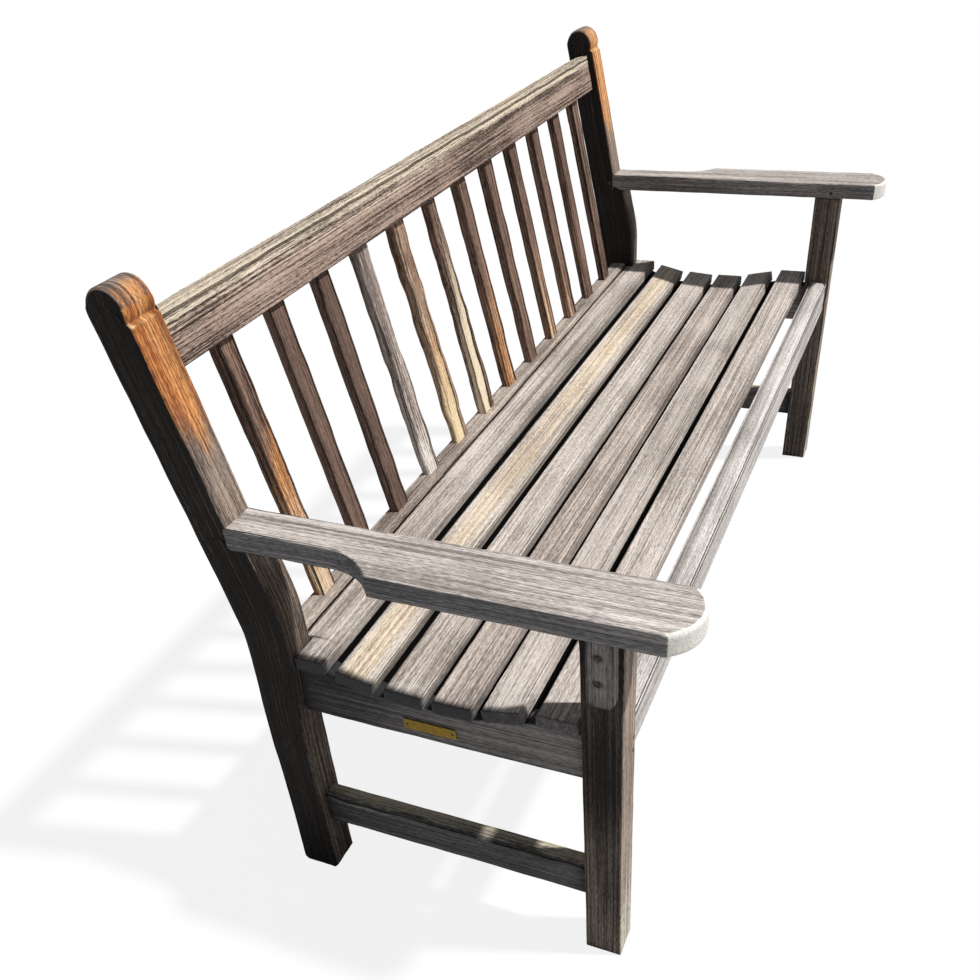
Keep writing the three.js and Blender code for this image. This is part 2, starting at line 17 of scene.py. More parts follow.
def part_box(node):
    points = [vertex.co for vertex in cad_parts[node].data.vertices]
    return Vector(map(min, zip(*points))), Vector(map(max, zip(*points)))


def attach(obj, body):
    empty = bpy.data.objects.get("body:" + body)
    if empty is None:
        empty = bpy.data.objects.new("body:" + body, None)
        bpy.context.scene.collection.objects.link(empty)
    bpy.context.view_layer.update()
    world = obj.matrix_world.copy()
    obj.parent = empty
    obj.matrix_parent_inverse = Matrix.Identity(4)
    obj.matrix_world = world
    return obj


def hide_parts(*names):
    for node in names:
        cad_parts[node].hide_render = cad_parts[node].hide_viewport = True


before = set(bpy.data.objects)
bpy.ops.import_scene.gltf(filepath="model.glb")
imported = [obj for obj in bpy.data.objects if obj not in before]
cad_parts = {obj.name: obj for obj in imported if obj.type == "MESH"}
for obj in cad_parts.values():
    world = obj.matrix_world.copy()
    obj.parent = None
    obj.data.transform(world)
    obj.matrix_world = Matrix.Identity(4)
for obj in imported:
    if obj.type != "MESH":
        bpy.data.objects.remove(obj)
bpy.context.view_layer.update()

MM = 0.001
X, Y, Z = np.eye(3)
ENDS = {"left": -1, "right": 1}
OUTSIDE = 2  # well clear of the bench, where rays start
FIT = 0.3 * MM  # clearance of the CAD's joints
TUCK = 3 * MM  # how far a board's end runs into the back post it meets


# ---- noise
def value_noise(points):
    """Smooth noise from -1 to 1 at an array of points (..., 3)."""
    cell = np.floor(points).astype(np.int64)
    part = points - cell
    part = part * part * (3 - 2 * part)
    total = np.zeros(points.shape[:-1])
    for corner in np.ndindex(2, 2, 2):
        place = cell + corner
        key = place[..., 0] * 73856093 ^ place[..., 1] * 19349663 ^ place[..., 2] * 83492791
        key = (key ^ (key >> 13)) * 1274126177
        value = ((key ^ (key >> 16)) & 0xFFFF) / 32767.5 - 1
        total += value * np.prod(np.where(corner, part, 1 - part), axis=-1)
    return total


def layered_noise(points, layers=3):
    """Noise with finer and weaker layers added, from about -1 to 1."""
    total = np.zeros(points.shape[:-1])
    for n in range(layers):
        total += value_noise(points * 2.03**n + 17.3 * n) * 0.5**n
    return total / (2 - 0.5 ** (layers - 1))


def rise(low, high, x):
    """0 below low, 1 above high, and a smooth step between them."""
    t = np.clip((x - low) / (high - low), 0, 1)
    return t * t * (3 - 2 * t)


def seed_of(name):
    return sum((n + 1) * ord(letter) for n, letter in enumerate(name)) % 89


# ---- reading the CAD frame
@functools.cache
def tree_of(node):
    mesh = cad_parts[node].data
    return BVHTree.FromPolygons([v.co for v in mesh.vertices], [p.vertices for p in mesh.polygons])


def hit(node, start, direction):
    """Where a ray first meets a CAD node."""
    return np.array(tree_of(node).ray_cast(Vector(start), Vector(direction))[0])


def face_direction(node, towards):
    """Normal of the largest flat face of a CAD node that looks roughly in a direction."""
    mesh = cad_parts[node].data
    areas = {}
    for p in mesh.polygons:
        if p.normal.dot(Vector(towards)) > 0.8:
            key = tuple(round(c, 3) for c in p.normal)
            areas[key] = areas.get(key, 0) + p.area
    best = np.array(max(areas, key=areas.get))
    return best / np.linalg.norm(best)


def reach(node, direction):
    """Lowest and highest place of a CAD node along a direction."""
    corners = np.array([v.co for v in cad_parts[node].data.vertices])
    along = corners @ direction
    return along.min(), along.max()


def middle(node, direction):
    return sum(reach(node, direction)) / 2


def thickness(node, direction):
    low, high = reach(node, direction)
    return high - low


# ---- the solid behind every board
ACROSS_STEP = 3.2 * MM
ALONG_STEP = 9 * MM
NEAR_EDGES = np.array([1.3, 3.2, 6.0]) * MM
CLOSEST = 0.4 * MM  # stations nearer than this are merged
EDGE = 1.8 * MM  # usual radius of a worn edge
ARC = np.radians([30, 60, 90])
WARP = 0.5 * MM
FACES = (("top", 1), ("bottom", -1))


def fractions(length, step, extra=()):
    """Places from 0 to 1, evenly spaced by about a step, with more of them near both ends."""
    even = np.linspace(0, 1, max(2, round(length / step)) + 1)
    close = NEAR_EDGES / length
    places = np.concatenate([even, close, 1 - close, extra])
    places = np.unique(np.round(places[(places >= 0) & (places <= 1)], 5))
    places = places[np.diff(places, prepend=-1) > CLOSEST / length]
    places[-1] = 1
    return places


def fill(low, high, near, far, u, v):
    """A lattice spanned between four border curves (a Coons patch). Rows follow u and columns v."""
    u = u[:, None, None]
    v = v[None, :, None]
    sides = (1 - v) * low[:, None] + v * high[:, None]
    ends = (1 - u) * near[None] + u * far[None]
    corners = (1 - u) * ((1 - v) * low[0] + v * high[0]) + u * ((1 - v) * low[-1] + v * high[-1])
    return sides + ends - corners


class Slab:
    """A board: an outline in its own plane (l along the grain, w across) given a thickness t.

    The outline's sides are low and high, and its ends near and far. radii gives the radius of the worn
    edge of a (side, face), and under "all" that of the others.
    """

    def __init__(self, node, outline, thick, radii, wear=1.0, ragged=0.0, grain_width=0.0):
        self.node = node
        self.seed = seed_of(node)
        low, high, near, far, self.u, self.v = outline
        self.thick = thick
        self.half = thick / 2
        self.radii = radii
        self.usual = radii.get("all", EDGE)
        self.wear = wear
        self.grain_width = grain_width
        self.grid = fill(low, high, near, far, self.u, self.v)
        self.trace_border()
        if ragged:
            self.gnaw_sides(ragged)
        faces, loops = self.round_edges()
        self.points = np.concatenate(faces + loops)
        self.gather_quads(len(loops))
        self.measure_places(len(loops))

    def trace_border(self):
        """The lattice's border points in order, and the side that starts at each of them."""
        rows, cols = len(self.u) - 1, len(self.v) - 1
        self.border = np.array(
            [(k, 0) for k in range(rows)]
            + [(rows, i) for i in range(cols)]
            + [(k, cols) for k in range(rows, 0, -1)]
            + [(0, i) for i in range(cols, 0, -1)]
        )
        self.rim = self.border[:, 0], self.border[:, 1]
        self.side = np.array(["low"] * rows + ["far"] * cols + ["high"] * rows + ["near"] * cols)

    def spread(self, moves):
        """Border moves carried smoothly into the whole lattice."""
        grid = np.zeros((len(self.u), len(self.v), 2))
        grid[self.rim] = moves
        return fill(grid[:, 0], grid[:, -1], grid[0], grid[-1], self.u, self.v)

    def gnaw_sides(self, depth):
        """Wears both long sides back unevenly, by up to a depth."""
        inward = self.inward_normals()[2]
        long_side = np.isin(self.side, ["low", "high"])
        apart = 40 * (self.side == "high")[:, None]
        waves = layered_noise(self.noise_place(self.grid[self.rim], 28, 9) + apart, 3)
        bite = depth * rise(-0.45, 0.45, waves) * long_side
        self.grid = self.grid + self.spread(inward * bite[:, None])

    def edge_radii(self, edge, number, face):
        """Radii of a face's worn edge just before and just after each border point."""
        base = np.array([self.radii.get((side, face), self.usual) for side in self.side])
        rough = value_noise(self.noise_place(edge, 35, 20) + 90 * number)
        after = base * (1 + 0.45 * self.wear * rough)
        return np.roll(after, 1), after

    def edge_rings(self, edge, inset, radius, level):
        """Loops of points over a rounded edge, from its face outwards."""
        rings = []
        for angle in ARC:
            place = edge + inset * (1 - math.sin(angle))
            depth = level * (self.half - radius * (1 - math.cos(angle)))
            rings.append(np.column_stack([place, depth]))
        return rings

    def round_edges(self):
        """Both faces, drawn in by their worn edges, and the loops of points from one to the other."""
        into, out, _ = self.inward_normals()
        edge = self.grid[self.rim]
        faces = []
        rings = []
        for number, (face, level) in enumerate(FACES):
            before, after = self.edge_radii(edge, number, face)
            inset = self.corner_moves(into, out, before, after)
            flat = self.grid + self.spread(inset)
            faces.append(np.dstack([flat, np.full(flat.shape[:2], level * self.half)]).reshape(-1, 3))
            rings.append(self.edge_rings(edge, inset, (before + after) / 2, level))
        walls = max(1, round((self.thick - self.usual * 2) / ACROSS_STEP))
        upper, lower = rings[0][-1], rings[1][-1]
        between = [upper + (lower - upper) * n / walls for n in range(1, walls)]
        return faces, rings[0] + between + rings[1][::-1]

    def gather_quads(self, loops):
        """Quads of both faces, and of the bands between the loops round the rim."""
        size = len(self.u) * len(self.v)
        count = len(self.border)
        index = np.arange(size).reshape(len(self.u), len(self.v))
        rim = index[self.rim]
        rings = [rim] + [2 * size + n * count + np.arange(count) for n in range(loops)] + [size + rim]
        top = np.stack([index[:-1, :-1], index[1:, :-1], index[1:, 1:], index[:-1, 1:]], -1).reshape(-1, 4)
        quads = [top, top[:, ::-1] + size]
        for a, b in zip(rings[:-1], rings[1:]):
            quads.append(np.stack([a, b, np.roll(b, -1), np.roll(a, -1)], -1))
        self.quads = np.concatenate(quads)

    def measure_places(self, loops):
        """Where each point lies on its board: how far from an end, along and across it, and on an end."""

        def per_point(lattice):
            lattice = np.broadcast_to(lattice, self.grid.shape[:2])
            return np.concatenate([lattice.ravel()] * 2 + [lattice[self.rim]] * loops)

        u, v = self.u[:, None], self.v[None, :]
        length = np.linalg.norm(self.grid[-1] - self.grid[0], axis=1)[None, :]
        self.from_end = per_point(np.minimum(u, 1 - u) * length)
        self.along = per_point(u)
        self.across = per_point(v)
        ends = np.isin(self.side, ["near", "far"])
        is_end = (ends & np.roll(ends, 1)).astype(float)
        self.on_end = np.concatenate([np.zeros(2 * self.grid[..., 0].size)] + [is_end] * loops)

    def noise_place(self, points, along, across):
        seeds = np.full(len(points), self.seed * 7.31)
        return np.column_stack([points[:, 0] * along, points[:, 1] * across, seeds])

    def inward_normals(self):
        """Inward normals of the border steps before and after each border point, and their mean."""
        edge = self.grid[self.rim]
        step = np.roll(edge, -1, axis=0) - edge
        out = np.column_stack([-step[:, 1], step[:, 0]])
        out /= np.linalg.norm(out, axis=1)[:, None] + 1e-12
        into = np.roll(out, 1, axis=0)
        mean = into + out
        return into, out, mean / (np.linalg.norm(mean, axis=1)[:, None] + 1e-12)

    @staticmethod
    def corner_moves(into, out, before, after):
        """The move that lies before inside the step before, and after inside the step after."""
        cos = np.sum(into * out, axis=1)
        sharp = cos < 0.85
        safe = np.where(sharp, 1 - cos**2, 1)
        a = (before - cos * after) / safe
        b = (after - cos * before) / safe
        cornered = a[:, None] * into + b[:, None] * out
        straight = (into + out) / (1 + np.clip(cos, 0, 1))[:, None] * ((before + after) / 2)[:, None]
        return np.where(sharp[:, None], cornered, straight)

    def normals(self, points):
        corner = points[self.quads]
        face = np.cross(corner[:, 2] - corner[:, 0], corner[:, 3] - corner[:, 1])
        total = np.zeros_like(points)
        for n in range(4):
            np.add.at(total, self.quads[:, n], face)
        return total / (np.linalg.norm(total, axis=1)[:, None] + 1e-15)

    def carve(self, relief):
        """Sinks the soft grain and leaves a slight warp, all inside the board's own outline."""
        p = self.points
        self.grain = p.copy()
        if self.grain_width:
            self.grain[:, 1] = self.across * self.grain_width
        spot = np.column_stack([p[:, 0] * 5, p[:, 1] * 150, p[:, 2] * 150]) + self.seed * 3.7
        broad = np.column_stack([p[:, 0] * 2.2, p[:, 1] * 26, p[:, 2] * 26]) + self.seed * 5.1
        sunk = rise(-0.5, 0.6, value_noise(spot)) * 0.6 + rise(-0.6, 0.7, value_noise(broad)) * 0.5
        self.points = p - self.normals(p) * (relief * sunk)[:, None]
        bend = value_noise(np.column_stack([p[:, 0] * 1.6, np.full(len(p), self.seed), p[:, 0] * 0]))
        self.points[:, 2] += WARP * bend

    def place(self, origin, along, across):
        """Puts the board into the bench's frame."""
        up = np.cross(along, across)
        self.world = origin + self.points @ np.array([along, across, up])
        self.facing = self.normals(self.world)


MASKS = ("bleach", "warm", "dirt", "shade", "end")


def make_object(slab, stuff, material, masks, smooth=True):
    """A piece's Blender object, which stands for its CAD node, with grain coordinates and masks."""
    name = f"{slab.node}_{stuff}"
    mesh = bpy.data.meshes.new(name)
    mesh.from_pydata(slab.world.tolist(), [], [tuple(int(i) for i in face) for face in slab.quads])
    mesh.polygons.foreach_set("use_smooth", np.full(len(mesh.polygons), smooth))
    grain = mesh.attributes.new("board", "FLOAT_VECTOR", "POINT")
    offset = np.array([slab.seed * 1.37, slab.seed * 0.71, slab.seed * 0.43])
    grain.data.foreach_set("vector", (slab.grain + offset).astype(np.float32).ravel())
    masks = {"end": slab.on_end, **masks}
    for key in MASKS:
        values = np.broadcast_to(masks.get(key, 0.0), len(slab.world)).astype(np.float32)
        mesh.attributes.new(key, "FLOAT", "POINT").data.foreach_set("value", values)
    mesh.materials.append(material)
    obj = bpy.data.objects.new(name, mesh)
    bpy.context.scene.collection.objects.link(obj)
    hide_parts(slab.node)
    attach(obj, "root")


# ---- outlines
POST_HEAD = 20 * MM  # height of the rounded top of a post
RAIL_TENON = 34 * MM  # length of a side rail's tenons, where its beds aren't measured
# Widths that set how many stations lie across an outline that isn't straight.
POST_WIDTH = 54 * MM
ARM_WIDTH = 75 * MM
RAIL_HEIGHT = 70 * MM
BLOCK_WIDTH = 32 * MM


def bordered(low, high, u, v, far=None):
    """An outline between two long sides. Its ends are straight, unless far is given as a curve of v."""

    def line_between(a, b):
        return (1 - v)[:, None] * a + v[:, None] * b

    end = far(v) if far else line_between(low[-1], high[-1])
    return low, high, line_between(low[0], high[0]), end, u, v


def straight(lows, highs, extra=()):
    """Outline of a plain rectangle, with extra stations along it."""
    (l0, w0), (l1, w1) = lows, highs
    u = fractions(l1 - l0, ALONG_STEP, extra)
    low, high = (np.column_stack([l0 + (l1 - l0) * u, np.full(len(u), w)]) for w in (w0, w1))
    return bordered(low, high, u, fractions(w1 - w0, ACROSS_STEP))


def curved(low, high, width, far=None):
    """Outline with stations that follow its middle. The width sets how many lie across."""
    steps = np.linalg.norm(np.diff((low + high) / 2, axis=0), axis=1)
    u = np.concatenate([[0], np.cumsum(steps)]) / steps.sum()
    return bordered(low, high, u, fractions(width, ACROSS_STEP), far)


def depths_at(node, x, heights, measured):
    """Front and rear curves (height, y) of an upright node, from rays at the measured heights."""
    front = [hit(node, (x, -OUTSIDE, z), Y)[1] for z in measured]
    rear = [hit(node, (x, OUTSIDE, z), -Y)[1] for z in measured]
    return np.column_stack([heights, front]), np.column_stack([heights, rear])


def post_heights(bottom, top, arm_bottom):
    """Heights at which a back post is measured: close together at its foot, arm and head."""
    foot = bottom + np.array([0.2, 2, 4, 6.5, 9]) * MM
    length = np.arange(bottom + 16 * MM, top - 50 * MM, ALONG_STEP)
    neck = np.arange(top - 48 * MM, top - POST_HEAD, 2.2 * MM)
    joint = [arm_bottom - 0.8 * MM, arm_bottom + 0.2 * MM]
    return np.unique(np.concatenate([foot, length, neck, joint]))


def head_arc(front, rear, top):
    """The arc over a post's head, between its front and rear edges."""
    mid = (front + rear) / 2
    half = np.linalg.norm(rear - front) / 2
    height = top - mid[0]
    radius = (half**2 + height**2) / (2 * height)
    centre = mid - np.array([radius - height, 0])
    start = math.atan2(*(front - centre)[::-1])
    end = math.atan2(*(rear - centre)[::-1])

    def arc(v):
        angle = start + (end - start) * v
        return centre + radius * np.column_stack([np.cos(angle), np.sin(angle)])

    return arc


def post_outline(node, x, arm_bottom):
    """Front and rear of a back post at every height, with its rounded head as the far end."""
    bottom, top = reach(node, Z)
    heights = post_heights(bottom, top, arm_bottom)
    low, high = depths_at(node, x, heights, heights)
    low[0, 0] = high[0, 0] = bottom
    return curved(low, high, POST_WIDTH, head_arc(low[-1], high[-1], top))


def arm_side(node, way, z, start, stop):
    """One long edge of an arm's plan, measured by rays along x."""
    ys = np.linspace(start, stop, round((start - stop) / (7 * MM)))
    inside = np.clip(ys, stop + 0.5 * MM, start - 6 * MM)
    xs = [hit(node, (-way * OUTSIDE, y, z), way * X)[0] for y in inside]
    return np.column_stack([-ys, xs])


def resampled(curve, count):
    """A number of points of a curve, evenly chosen."""
    return curve[np.round(np.linspace(0, len(curve) - 1, count)).astype(int)]


def arm_outline(node, rear_y):
    """Plan of an arm, from its butt against the post to its curved nose. l is -y, and w is x."""
    x0, x1 = reach(node, X)
    z = ARM_TOP - 4.5 * MM
    sides = x0 + 0.4 * MM, x1 - 0.4 * MM

    def nose(xs):
        return np.array([hit(node, (x, -OUTSIDE, z), Y)[1] for x in np.clip(xs, *sides)])

    low, high = (arm_side(node, way, z, rear_y, stop) for way, stop in zip((1, -1), nose(sides)))
    count = min(len(low), len(high))
    low, high = resampled(low, count), resampled(high, count)

    def nose_arc(v):
        xs = low[-1, 1] + (high[-1, 1] - low[-1, 1]) * v
        return np.column_stack([-nose(xs), xs])

    return curved(low, high, ARM_WIDTH, nose_arc)


def side_rail_outline(node, x, front_y, rear_y):
    """Side view of a side rail: flat below, cut above into beds for the slats."""
    y0, y1 = reach(node, Y)
    ys = np.arange(front_y, rear_y, 3.5 * MM)
    tops = [hit(node, (x, y, OUTSIDE), -Z)[2] for y in np.clip(ys, y0 + RAIL_TENON, y1 - RAIL_TENON)]
    low = np.column_stack([ys, np.full(len(ys), reach(node, Z)[0])])
    return curved(low, np.column_stack([ys, tops]), RAIL_HEIGHT)


def block_outline(node, x, top):
    """Side view of an arm block, with its lower front corner cut off."""
    bottom = reach(node, Z)[0]
    heights = np.concatenate([[bottom + 0.3 * MM], np.arange(bottom + 2 * MM, top, 4 * MM), [top]])
    heights = np.unique(heights)
    low, high = depths_at(node, x, heights, np.minimum(heights, top - 3 * MM))
    return curved(low, high, BLOCK_WIDTH)


def notched_outline(half, w0, w1, notch_l, notch_w):
    """Outline of the rearmost seat slat, whose high side steps in at both posts."""
    step = notch_l / (2 * half)
    beside = 0.0004
    corners = [0.5 - step - beside, 0.5 - step, 0.5 + step, 0.5 + step + beside]
    low, high, _, _, u, v = straight((-half, w0), (half, w1), corners)
    high[np.abs(high[:, 0]) > notch_l + FIT, 1] = notch_w
    return bordered(low, high, u, v)


# ---- materials
def rgb(code):
    """Linear colour of an sRGB hex code."""
    parts = [int(code[n : n + 2], 16) / 255 for n in (0, 2, 4)]
    return (*[c / 12.92 if c <= 0.04045 else ((c + 0.055) / 1.055) ** 2.4 for c in parts], 1)


class Nodes:
    """A node tree, with short ways to add nodes to it."""

    def __init__(self, owner):
        owner.use_nodes = True
        self.tree = owner.node_tree

    def node(self, kind, inputs=(), **settings):
        made = self.tree.nodes.new("ShaderNode" + kind)
        for key, value in settings.items():
            setattr(made, key, value)
        for key, value in dict(inputs).items():
            self.put(made.inputs[key], value)
        return made

    def put(self, socket, value):
        if isinstance(value, bpy.types.NodeSocket):
            self.tree.links.new(value, socket)
        else:
            socket.default_value = value

    def camera_ray(self):
        return self.node("LightPath").outputs["Is Camera Ray"]

    def scaled(self, vector, scale):
        made = self.node("VectorMath", {0: vector, 1: scale}, operation="MULTIPLY")
        return made.outputs[0]

    def noise(self, vector, scale, detail=3.0, rough=0.55):
        inputs = {"Vector": self.scaled(vector, scale), "Scale": 1.0, "Detail": detail, "Roughness": rough}
        return self.node("TexNoise", inputs).outputs["Fac"]

    def span(self, value, low, high, to_low=0.0, to_high=1.0):
        inputs = {0: value, 1: low, 2: high, 3: to_low, 4: to_high}
        return self.node("MapRange", inputs, interpolation_type="SMOOTHSTEP").outputs[0]

    def math(self, operation, a, b):
        return self.node("Math", {0: a, 1: b}, operation=operation).outputs[0]

    def product(self, *values):
        result = values[0]
        for value in values[1:]:
            result = self.math("MULTIPLY", result, value)
        return result

    def total(self, *parts, bias=0.0):
        """Sum of values, each given with its weight, and a bias."""
        result = bias
        for value, weight in parts:
            result = self.math("ADD", self.math("MULTIPLY", value, weight), result)
        return result

    def mix(self, factor, a, b, blend="MIX"):
        made = self.node("Mix", {0: factor, 6: a, 7: b}, data_type="RGBA", blend_type=blend)
        return made.outputs[2]


class Surface(Nodes):
    """The nodes of a new material with a Principled shader."""

    def __init__(self, name):
        self.material = bpy.data.materials.new(name)
        super().__init__(self.material)
        self.shader = self.tree.nodes["Principled BSDF"]

    def mask(self, name):
        """A weathering mask of the boards."""
        return self.node("Attribute", attribute_name=name).outputs["Fac"]

    def bump(self, height, distance, strength):
        inputs = {"Height": height, "Distance": distance, "Strength": strength}
        self.put(self.shader.inputs["Normal"], self.node("Bump", inputs).outputs[0])


# Noise of the wood: scales per metre (along the grain, and twice across it), detail and roughness.
NOISES = {
    "lines": ((1.2, 360, 360), 3, 0.7),
    "fibre": ((9, 520, 520), 3, 0.65),
    "speckle": ((105, 1250, 1250), 2, 0.65),
    "streak": ((1.8, 105, 105), 3, 0.55),
    "blotch": ((3, 17, 17), 3, 0.5),
    "split": ((30, 330, 40), 3, 0.6),
    "pores": ((60, 900, 900), 2, 0.7),
    "cracked": ((6, 42, 42), 2, 0.55),
}
WANDER = ((1.5, 8, 8), 1, 0.55)
CRACKS = (2.2, 140, 140)
CRACK_COLOUR = "120e0b"
USUAL_TINTS = {"warm": "cf8a4c", "ember": "7d4522", "pale": "e6d6b4", "grime_and_shade": "1b1815"}


class Teak(Surface):
    """Bare teak after years outside: silvered fibres over dark grooves, checks along the grain, and
    places where the masks call for bleaching, painted highlights, warm fresh wood, grimy patches,
    painted shade or end grain."""

    def __init__(self, name, light, dark, contrast=1, cracks=0.5, **others):
        super().__init__(name)
        tints = {key: rgb(code) for key, code in {**USUAL_TINTS, **others}.items()}
        light, dark, self.pale = rgb(light), rgb(dark), tints["pale"]
        self.find_patterns()
        half = 0.1 / contrast
        self.colour = self.mix(self.span(self.grain, 0.5 - half, 0.5 + half), dark, light)
        self.freshen(tints["warm"], tints["ember"])
        self.bleach()
        self.cover(self.product(self.end, 0.4), self.mix(self.split, dark, light))
        self.soil_and_shade(tints["grime_and_shade"])
        self.fleck()
        self.cover(self.product(self.checks, cracks), rgb(CRACK_COLOUR))
        self.put(self.shader.inputs["Base Color"], self.colour)
        self.roughen(cracks)

    def cover(self, factor, colour):
        self.colour = self.mix(factor, self.colour, colour)

    def find_patterns(self):
        """Patterns in the board's own coordinates, which wander a little across the grain."""
        board = self.node("Attribute", attribute_name="board").outputs["Vector"]
        sideways = self.total((self.noise(board, *WANDER), 8 * MM), bias=-4 * MM)
        moved = self.node("CombineXYZ", {1: sideways, 2: sideways}).outputs[0]
        board = self.node("VectorMath", {0: board, 1: moved}, operation="ADD").outputs[0]
        noise = {name: self.noise(board, *settings) for name, settings in NOISES.items()}
        self.lines, self.fibre, self.speckle = noise["lines"], noise["fibre"], noise["speckle"]
        self.streak, self.blotch = noise["streak"], noise["blotch"]
        self.split = self.span(noise["split"], 0.38, 0.62)
        self.end = self.mask("end")
        self.end_pores = self.product(noise["pores"], self.end)
        self.open_pores = self.product(self.span(noise["pores"], 0.55, 0.7), self.end, 0.5)
        parts = zip((self.lines, self.fibre, self.speckle, self.streak), (0.36, 0.22, 0.26, 0.16))
        self.grain = self.total(*parts, (self.mask("shade"), 0.1))
        # Checks are thin dark cracks that follow the grain.
        cells = {"Vector": self.scaled(board, CRACKS), "Scale": 1.0, "Randomness": 1.0}
        crack = self.node("TexVoronoi", cells, feature="DISTANCE_TO_EDGE").outputs["Distance"]
        crack = self.span(crack, 0.01, 0.05, 1.0, 0.0)
        not_end = self.total((self.end, -1), bias=1)
        self.checks = self.product(crack, self.span(noise["cracked"], 0.56, 0.66), not_end)

    def freshen(self, warm, ember):
        """Warm wood, streaked with pale, where the weather hasn't silvered it yet."""
        fresh = self.mix(self.span(self.grain, 0.42, 0.58), ember, warm)
        fresh = self.mix(self.span(self.streak, 0.55, 0.72, 0.0, 0.6), fresh, self.pale)
        warmth = self.total((self.mask("warm"), 1), (self.streak, 1.5), bias=-0.75)
        speckled = self.span(self.speckle, 0.32, 0.55, 0.55, 1.0)
        self.cover(self.product(self.span(warmth, 0.28, 0.8), speckled), fresh)

    # Bleaching, and painted highlights where the masks call for them, in pale wood.
    def bleach(self):
        amount = self.total((self.mask("bleach"), 1), (self.grain, 2.6), bias=-1.3)
        self.cover(self.span(amount, 0.35, 0.9, 0.0, 0.92), self.pale)

    def soil_and_shade(self, grime_and_shade):
        """Grime and painted shade from the masks, in blotches and in the dark of the grain, and dark pores
        in end grain.
        """
        amount = self.total((self.mask("dirt"), 1), (self.blotch, 0.5), (self.grain, -1.3), bias=0.4)
        self.cover(self.span(amount, 0.1, 1.0, 0.0, 0.96), grime_and_shade)
        self.cover(self.open_pores, grime_and_shade)

    def fleck(self):
        fade = self.span(self.speckle, 0.3, 0.6, 0.78, 1.08)
        grey = self.node("CombineXYZ", {0: fade, 1: fade, 2: fade}).outputs[0]
        self.colour = self.mix(1.0, self.colour, grey, "MULTIPLY")

    def roughen(self, cracks):
        self.put(self.shader.inputs["Roughness"], self.span(self.grain, 0.3, 0.7, 0.94, 0.76))
        self.put(self.shader.inputs["Specular IOR Level"], 0.25)
        fine = self.total((self.fibre, 0.7), (self.lines, 0.8), (self.speckle, 0.5), (self.streak, 0.5))
        self.bump(self.total((self.end_pores, 0.7), (self.checks, -cracks), bias=fine), 1.0 * MM, 0.7)


def tarnished_metal(name, bright, dull, roughness, patina="3a3128"):
    """Old metal outdoors: dull, mottled and slightly pitted."""
    s = Surface(name)
    place = s.node("TexCoord").outputs["Object"]
    mottle = s.noise(place, (260, 260, 260), 4.0, 0.6)
    cloud = s.noise(place, (45, 45, 45), 3.0, 0.55)
    pits = s.noise(place, (1500, 1500, 1500), 2.0)
    colour = s.mix(s.span(mottle, 0.35, 0.65), rgb(dull), rgb(bright))
    colour = s.mix(s.span(cloud, 0.5, 0.75, 0.0, 0.7), colour, rgb(patina))
    s.put(s.shader.inputs["Base Color"], colour)
    s.put(s.shader.inputs["Metallic"], s.span(cloud, 0.45, 0.75, 0.85, 0.25))
    s.put(s.shader.inputs["Roughness"], s.span(mottle, 0.3, 0.7, roughness + 0.18, roughness))
    s.bump(s.math("ADD", mottle, s.math("MULTIPLY", pits, 0.4)), 0.25 * MM, 0.6)
    return s.material


SEAT_GRIME_AND_SHADE = "3f4042"  # the cool grey of grime and of the painted shade on the seat's shaded faces

# Colours of the woods as sRGB codes, and how strong their grain and checks are.
TEAK = {
    "seat": dict(light="e6dad0", dark="85796f", pale="f2e9da", grime_and_shade=SEAT_GRIME_AND_SHADE, cracks=0.3),
    "seat_brown": dict(light="dfd0c4", dark="786b62", pale="e8dcca", grime_and_shade=SEAT_GRIME_AND_SHADE, cracks=0.3),
    "seat_pale": dict(
        light="e4d7ca", dark="84776b", pale="f2e8d2", warm="e9d6bc", ember="b09c84", grime_and_shade=SEAT_GRIME_AND_SHADE, cracks=0.3
    ),
    "front_rail": dict(light="e2dcd6", dark="989089", pale="f2eee6", cracks=0.3),
    # The arm's cool grey grime_and_shade tint is mostly painted shade on its sides and underside.
    "arm": dict(light="dad0c8", dark="7e746c", pale="fffaf0", grime_and_shade="505356", contrast=1.15, cracks=0.3),
    "top_rail": dict(light="bba292", dark="3e2f28", pale="f6e6cc", contrast=1.45, cracks=0.4),
    "post": dict(light="ac9a8c", dark="483930", warm="f2a860", ember="9a5226", pale="f6d8a4"),
    "leg": dict(light="c0ad9c", dark="66574b", warm="c8967a", pale="f2eedc"),
    "rail": dict(light="a39c97", dark="56524f", grime_and_shade="26282a", contrast=0.85, cracks=0.25),
    "lower_rail": dict(light="c4b6aa", dark="655549", pale="e0d2be"),
    "slat_brown": dict(
        light="9a7b69", dark="3a2a23", warm="e6a466", ember="945a32", pale="f6e6c8", contrast=1.3
    ),
    "slat_smooth": dict(light="866c5e", dark="3b2e28", pale="b9a28f"),
    "slat_grey": dict(light="cdbdb2", dark="5a4a43", pale="f6ece2", contrast=1.15),
    "slat_gold": dict(
        light="d0b298", dark="745544", warm="f0bc7a", ember="a8693c", pale="f8e2b8", contrast=1.15
    ),
    "peg": dict(light="5d5047", dark="27201b"),
}
WOOD = {key: Teak("teak_" + key, **tints).material for key, tints in TEAK.items()}
METAL = {
    "steel": tarnished_metal("screw_steel", "5a554f", "38332f", 0.55),
    "pin": tarnished_metal("pin_brass", "6e5c34", "463a20", 0.5, patina="2e2616"),
    "brass": tarnished_metal("plate_brass", "b39440", "a38538", 0.6, patina="8f7534"),
}


# ---- weathering, with painted shade and highlights
def close_to(distance, reach):
    return np.exp(-np.maximum(distance, 0) / reach)


